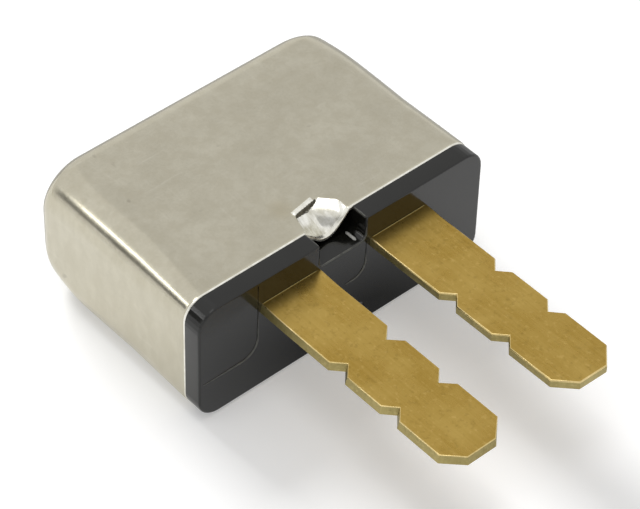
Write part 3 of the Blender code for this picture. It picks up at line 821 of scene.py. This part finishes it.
for finish in (
        # paler than the plating: bare metal, with painted highlight on the lip and the ridge
        worn_metal_and_painted_light("bare_edge_painted_highlight", (0.70, 0.68, 0.60), (0.86, 0.85, 0.78), 0.24, 0.34),
        # dark: painted shade for the crease's step
        worn_metal_and_painted_light("painted_crease_shade", (0.06, 0.055, 0.042), (0.16, 0.15, 0.12), 0.35, 0.5),
        # paler than the plating: rubbed metal, with painted highlight in the dent
        worn_metal_and_painted_light("worked_metal_painted_highlight", (0.56, 0.54, 0.46), (0.84, 0.83, 0.77), 0.16, 0.26,
                   across=(1, 0.3, 1), dented=0.5)):
    can.data.materials.append(finish)
print("the can's finishes:", ", ".join(m.name for m in can.data.materials))

# %% [markdown]
# ## The black moulding
#
# The base is a hard phenolic moulding. It is almost black, and polished by the mould, so
# nearly all you see on it is reflection: the blades in its face, and a bright line along
# its rounded edges. A very shallow ripple keeps the reflections from looking like glass.

# %% Black phenolic
black, tree, shader, here = start_material("black_phenolic")
shader.inputs["Specular IOR Level"].default_value = 0.44
cloud = noise(tree, here, 420, 3, 0.6)
haze = noise(tree, here, 900, 4, 0.6)
ripple = noise(tree, here, 380, 2, 0.5)
grain = noise(tree, here, 6500, 2, 0.5)
connect(tree, shader,
        colour=blend(tree, cloud, (0.006, 0.006, 0.005), (0.011, 0.011, 0.009)),
        roughness=spread(tree, haze, 0.3, 0.7, 0.12, 0.19),
        normal=bumps(tree, [(ripple, 0.00002, 0.3), (grain, 0.000003, 0.3)]))
moulding.data.materials.append(black)
print("finish:", black.name)

# %% [markdown]
# A parting line is broken skin, so it is duller than the polished face, and its paler colour
# is partly that and partly painted highlight. The rib in the pocket is painted nearly white
# as a glint, which is a painted highlight. Both have the same broken pattern.

# %% The parting lines' finish and the rib's painted glint
def pale_phenolic_and_painted_highlight(name, dark, pale_colour):
    material, tree, shader, here = start_material(name)
    broken = noise(tree, here, 1500, 3, 0.6)
    grain = noise(tree, here, 7000, 2, 0.5)
    connect(tree, shader,
            colour=blend(tree, spread(tree, broken, 0.35, 0.65), dark, pale_colour),
            roughness=spread(tree, broken, 0.3, 0.7, 0.3, 0.45),
            normal=bumps(tree, [(grain, 0.000004, 0.4)]))
    return material


for finish in (
        # parting lines: duller broken skin, paler partly as painted highlight
        pale_phenolic_and_painted_highlight("scuffed_phenolic_painted_highlight", (0.045, 0.046, 0.040), (0.12, 0.12, 0.105)),
        # the rib: near white, a painted glint
        pale_phenolic_and_painted_highlight("painted_rib_glint", (0.40, 0.40, 0.38), (0.62, 0.62, 0.58))):
    parting_lines.data.materials.append(finish)
print("finishes:", ", ".join(m.name for m in parting_lines.data.materials))

# %% [markdown]
# ## The brass
#
# The blades are rolled brass that has dulled a little. Rolling leaves faint lines along the
# strip, and handling leaves small darker spots. The sheared sides are greyer and rougher,
# with lines that run up and down, and darker too, which is partly painted shade. The
# dragged-over edge between them and the face gets a pale smooth finish, a painted highlight
# along the soft edge. One recipe makes all three.

# %% Rolled brass, sheared brass with painted shade, and a painted edge highlight
# One recipe for rolled brass and for its painted shade and highlight copies
def brass_with_painted_light(name, dark, pale_colour, smooth, rough, along):
    material, tree, shader, here = start_material(name)
    shader.inputs["Metallic"].default_value = 1.0
    darker = tuple(v * 0.62 for v in dark)
    lighter = tuple(min(v * 1.25 + 0.04, 1.0) for v in pale_colour)
    cloud = noise(tree, here, 300, 4, 0.6, 0.3)
    spots = noise(tree, here, 2600, 3, 0.6)
    pale = noise(tree, stretched(tree, here, (1.0, 0.7, 1.0)), 3300, 2, 0.6)
    lines = noise(tree, stretched(tree, here, along), 5200, 2, 0.6)
    colour = blend(tree, spread(tree, cloud, 0.35, 0.65), dark, pale_colour)
    colour = blend(tree, spread(tree, spots, 0.55, 0.7, 0.0, 0.4), colour, darker)
    colour = blend(tree, spread(tree, pale, 0.58, 0.72, 0.0, 0.4), colour, lighter)
    colour = blend(tree, spread(tree, lines, 0.35, 0.7, 0.0, 0.2), colour, lighter)
    roughness = arithmetic(tree, "ADD", spread(tree, cloud, 0.3, 0.7, smooth, rough),
                           weaker(tree, spots, 0.06))
    normal = bumps(tree, [(cloud, 0.00002, 0.25), (lines, 0.000004, 0.3), (spots, 0.000005, 0.3)])
    connect(tree, shader, colour=colour, roughness=roughness, normal=normal)
    return material


brass = (
    brass_with_painted_light("rolled_brass", (0.395, 0.252, 0.050), (0.470, 0.318, 0.080), 0.22, 0.29,
                 along=(1.0, 0.03, 1.0)),
    # sheared sides: greyer and rougher, and darker as partly painted shade
    brass_with_painted_light("sheared_brass_painted_shade", (0.27, 0.220, 0.085), (0.38, 0.315, 0.130), 0.34, 0.46,
                 along=(1.0, 1.0, 0.06)),
    # the soft edge: pale, a painted highlight
    brass_with_painted_light("painted_highlight_brass", (0.56, 0.43, 0.18), (0.68, 0.54, 0.26), 0.20, 0.28,
                 along=(1.0, 0.05, 1.0)),
)
for terminal in (left_terminal, right_terminal):
    for finish in brass:
        terminal.data.materials.append(finish)
print("finishes:", ", ".join(m.name for m in brass))

# %% [markdown]
# ## The pieces inside
#
# The strip, its rivet and the two contacts are closed in by the can. Their solids are used
# as they are, but each still gets a finish of its own, so that the model is complete when
# someone takes the can off.

# %% Silver contacts, strip and rivet
def inner_metal(name, dark, pale_colour, smooth, rough, across=(1, 1, 1)):
    material, tree, shader, here = start_material(name)
    shader.inputs["Metallic"].default_value = 1.0
    cloud = noise(tree, here, 700, 3, 0.6)
    lines = noise(tree, stretched(tree, here, across), 5000, 2, 0.6)
    connect(tree, shader,
            colour=blend(tree, spread(tree, cloud, 0.35, 0.65), dark, pale_colour),
            roughness=spread(tree, lines, 0.3, 0.7, smooth, rough),
            normal=bumps(tree, [(lines, 0.000004, 0.4)]))
    return material


inner = {
    "fixed_contact": inner_metal("silver_contact", (0.72, 0.70, 0.66), (0.86, 0.85, 0.82),
                                 0.18, 0.3),
    "moving_contact": inner_metal("worn_silver", (0.62, 0.60, 0.56), (0.80, 0.78, 0.74),
                                  0.22, 0.36),
    "bimetal_strip": inner_metal("bimetal", (0.36, 0.33, 0.30), (0.48, 0.45, 0.41),
                                 0.28, 0.44, across=(0.03, 1, 1)),
    "strip_rivet": inner_metal("plated_rivet", (0.50, 0.49, 0.46), (0.62, 0.61, 0.58),
                               0.24, 0.4, across=(1, 1, 0.05)),
}
for node, material in inner.items():
    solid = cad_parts[node]
    solid.data.materials.clear()
    solid.data.materials.append(material)
print("inner finishes:", ", ".join(inner))

# %% [markdown]
# ## The table and the room
#
# The breaker lies on a pale table in a white room. The table is a plain matt surface, and a
# little light of its own is added only for rays that come straight from the camera or from
# a reflection. That makes it white without lighting the breaker any more, and the soft
# shadow stays. The room does the same: it looks fully white, and lights less than that.

# %% Pale table
TABLE_RADIUS, TABLE_GLOW = 0.9, 0.3


def seen_directly(tree):
    """1 for what the camera or a reflection sees, and 0 for the light that falls on things."""
    path = tree.nodes.new("ShaderNodeLightPath")
    seen = arithmetic(tree, "MAXIMUM", path.outputs["Is Camera Ray"], path.outputs["Is Glossy Ray"])
    return arithmetic(tree, "MAXIMUM", seen, path.outputs["Is Transmission Ray"])


bm = bmesh.new()
bmesh.ops.create_circle(bm, cap_ends=True, segments=96, radius=TABLE_RADIUS)
table_mesh = bpy.data.meshes.new("table")
bm.to_mesh(table_mesh)
bm.free()
table = bpy.data.objects.new("table", table_mesh)
bpy.context.scene.collection.objects.link(table)

pale_table = bpy.data.materials.new("pale_table")
pale_table.use_nodes = True
tree = pale_table.node_tree
shader = tree.nodes["Principled BSDF"]
shader.inputs["Base Color"].default_value = (0.82, 0.82, 0.82, 1)
shader.inputs["Roughness"].default_value = 0.9
shader.inputs["Specular IOR Level"].default_value = 0.1
shader.inputs["Emission Color"].default_value = (1, 1, 1, 1)
tree.links.new(weaker(tree, seen_directly(tree), TABLE_GLOW), shader.inputs["Emission Strength"])
table.data.materials.append(pale_table)
print("table:", round(2 * TABLE_RADIUS, 1), "m across")

# %% White room
ROOM_LIGHT, ROOM_SEEN = 0.45, 1.0
world = bpy.data.worlds.new("white_room")
bpy.context.scene.world = world
world.use_nodes = True
tree = world.node_tree
background = tree.nodes["Background"]
background.inputs["Color"].default_value = (1, 1, 1, 1)
strength = spread(tree, seen_directly(tree), 0.0, 1.0, ROOM_LIGHT, ROOM_SEEN)
tree.links.new(strength, background.inputs["Strength"])
print("the room lights at", ROOM_LIGHT, "and looks as bright as", ROOM_SEEN)

# %% [markdown]
# ## Lamps and cards
#
# Metal shows its surroundings, so the light is mostly a matter of what stands round it. A
# long soft box on the left, seen by reflections alone, draws the bright line along the
# can's rounded edge and along each blade. One overhead lights the broad side. One behind,
# which reflections don't show, throws the soft shadow forwards. A dark card under the left
# one draws the dark line beside the bright one, and a grey card on the camera's side tones
# down what the near sides mirror.

# %% Helpers for soft boxes and cards
def aim(thing, direction, distance, along):
    """Put something in a direction from the breaker, facing it, with its long side along a line."""
    out = Vector(direction).normalized()
    long_side = (Vector(along) - out * out.dot(Vector(along))).normalized()
    turn = Matrix((long_side, out.cross(long_side), out)).transposed().to_4x4()
    thing.matrix_world = Matrix.Translation(face_point + Vector(direction) * distance) @ turn


def soft_box(name, direction, distance, size, brightness, along=(0, 1, 0)):
    lamp = bpy.data.lights.new(name, "AREA")
    lamp.shape = "RECTANGLE"
    lamp.size, lamp.size_y = size
    lamp.energy = brightness * math.pi * size[0] * size[1]
    box = bpy.data.objects.new(name, lamp)
    bpy.context.scene.collection.objects.link(box)
    aim(box, direction, distance, along)
    return box


def card(name, direction, distance, size, brightness, along=(0, 1, 0)):
    """A card that only reflections see."""
    bm = bmesh.new()
    bmesh.ops.create_grid(bm, x_segments=1, y_segments=1, size=0.5)
    bmesh.ops.scale(bm, vec=(size[0], size[1], 1), verts=bm.verts)
    mesh = bpy.data.meshes.new(name)
    bm.to_mesh(mesh)
    bm.free()
    sheet = bpy.data.objects.new(name, mesh)
    bpy.context.scene.collection.objects.link(sheet)
    aim(sheet, direction, distance, along)
    finish = bpy.data.materials.new(name)
    finish.use_nodes = True
    shader = finish.node_tree.nodes["Principled BSDF"]
    shader.inputs["Base Color"].default_value = (0, 0, 0, 1)
    shader.inputs["Specular IOR Level"].default_value = 0
    shader.inputs["Emission Color"].default_value = (1, 1, 1, 1)
    shader.inputs["Emission Strength"].default_value = brightness
    mesh.materials.append(finish)
    sheet.visible_camera = False
    sheet.visible_diffuse = False
    sheet.visible_shadow = False
    return sheet


print("lamps and cards are aimed at, mm:", in_mm([face_point])[0])

# %% Soft boxes and cards
strip = soft_box("left_strip", (-0.685, 0.485, 0.535), 0.32, (0.12, 0.026), 4.6)
strip.visible_diffuse = False
soft_box("overhead_soft_box", (-0.20, 0.0, 0.97), 0.36, (0.13, 0.13), 3.0)
back_box = soft_box("back_soft_box", (0.10, 0.74, 0.66), 0.50, (0.20, 0.20), 13.0)
back_box.visible_glossy = False
card("dark_card", (-0.755, 0.59, 0.285), 0.30, (0.13, 0.062), 0.12)
card("camera_side_card", (-0.62, -0.585, 0.55), 0.50, (0.22, 0.22), 0.45)

# %% [markdown]
# Three grey sheets stand for the rest of the room, which isn't all white. One behind keeps
# the can's broad side from going white, and one on the table does the same for its far
# rounded edges. A small dark one under the blades is the shade that the moulding's glossy
# face mirrors. It fades out towards its ends, so that no border shows in the gloss.

# %% Grey card behind
GREY_DISTANCE = 0.34
ahead = Vector((0.477, 0.521, 0.708))
slant, fall_line = Vector((-0.860, 0.109, 0.499)), Vector((-0.184, 0.847, -0.499))
card("grey_card", ahead - slant * 0.20 - fall_line * 0.06, GREY_DISTANCE,
     (GREY_DISTANCE * 0.80, GREY_DISTANCE * 0.50), 0.84, slant)
print("grey card:", round(GREY_DISTANCE / MM), "mm away")

# %% Sheets lying on the table
SHEET_HEIGHT = 0.0003


def flat_sheet(name, x, y, size, brightness):
    """A card that lies on the table, at a place in mm from the moulding's face."""
    sheet = card(name, (0, 0, 1), 0.1, size, brightness)
    sheet.matrix_world = Matrix.Translation((x * MM, face_point.y + y * MM, SHEET_HEIGHT))
    return sheet


flat_sheet("grey_sheet_behind", 144, 152, (0.312, 0.300), 0.62)
shade_sheet = flat_sheet("shade_under_blades", -1.0, -3.1, (0.026, 0.0062), 0.6)
fading = shade_sheet.data.materials[0].node_tree
local = fading.nodes.new("ShaderNodeTexCoord").outputs["Object"]
near_base = spot(fading, stretched(fading, local, (0.42, 1, 1)), (0.00105, 0.0031, 0), 0.0064)
fading.links.new(spread(fading, near_base, 0.0, 0.75, 0.74, 0.20),
                 fading.nodes["Principled BSDF"].inputs["Emission Strength"])
print("the shade is", round(shade_sheet.dimensions.x / MM), "mm long")

# %% [markdown]
# ## The camera
#
# A long lens from well back keeps the blades nearly parallel, as in a catalogue picture.
# The camera stands to the left of the blades' side and looks down at 45 degrees. Its place
# and lens were worked out from the blades, whose width and pitch are known.

# %% Camera
AZIMUTH, ELEVATION, ROLL = (math.radians(a) for a in (-42.49, 45.05, 1.70))
CAMERA_PLACE = Vector((-100.463, -107.249, 149.878)) * MM      # from the drawing's origin
back = Vector((math.sin(AZIMUTH) * math.cos(ELEVATION), -math.cos(AZIMUTH) * math.cos(ELEVATION),
               math.sin(ELEVATION)))
level = Vector((math.cos(AZIMUTH), math.sin(AZIMUTH), 0))
right = (level * math.cos(ROLL) + back.cross(level) * math.sin(ROLL)).normalized()
turn = Matrix((right, back.cross(right), back)).transposed().to_4x4()
lens = bpy.data.cameras.new("camera")
lens.sensor_width = 36
lens.lens = 173.3
lens.clip_start = 0.01
camera = bpy.data.objects.new("camera", lens)
bpy.context.scene.collection.objects.link(camera)
camera.matrix_world = Matrix.Translation(face_point + CAMERA_PLACE) @ turn
bpy.context.scene.camera = camera
bpy.context.scene.view_settings.view_transform = "Standard"
print("camera at", [round(v / MM, 1) for v in camera.location], "mm, lens", lens.lens, "mm")
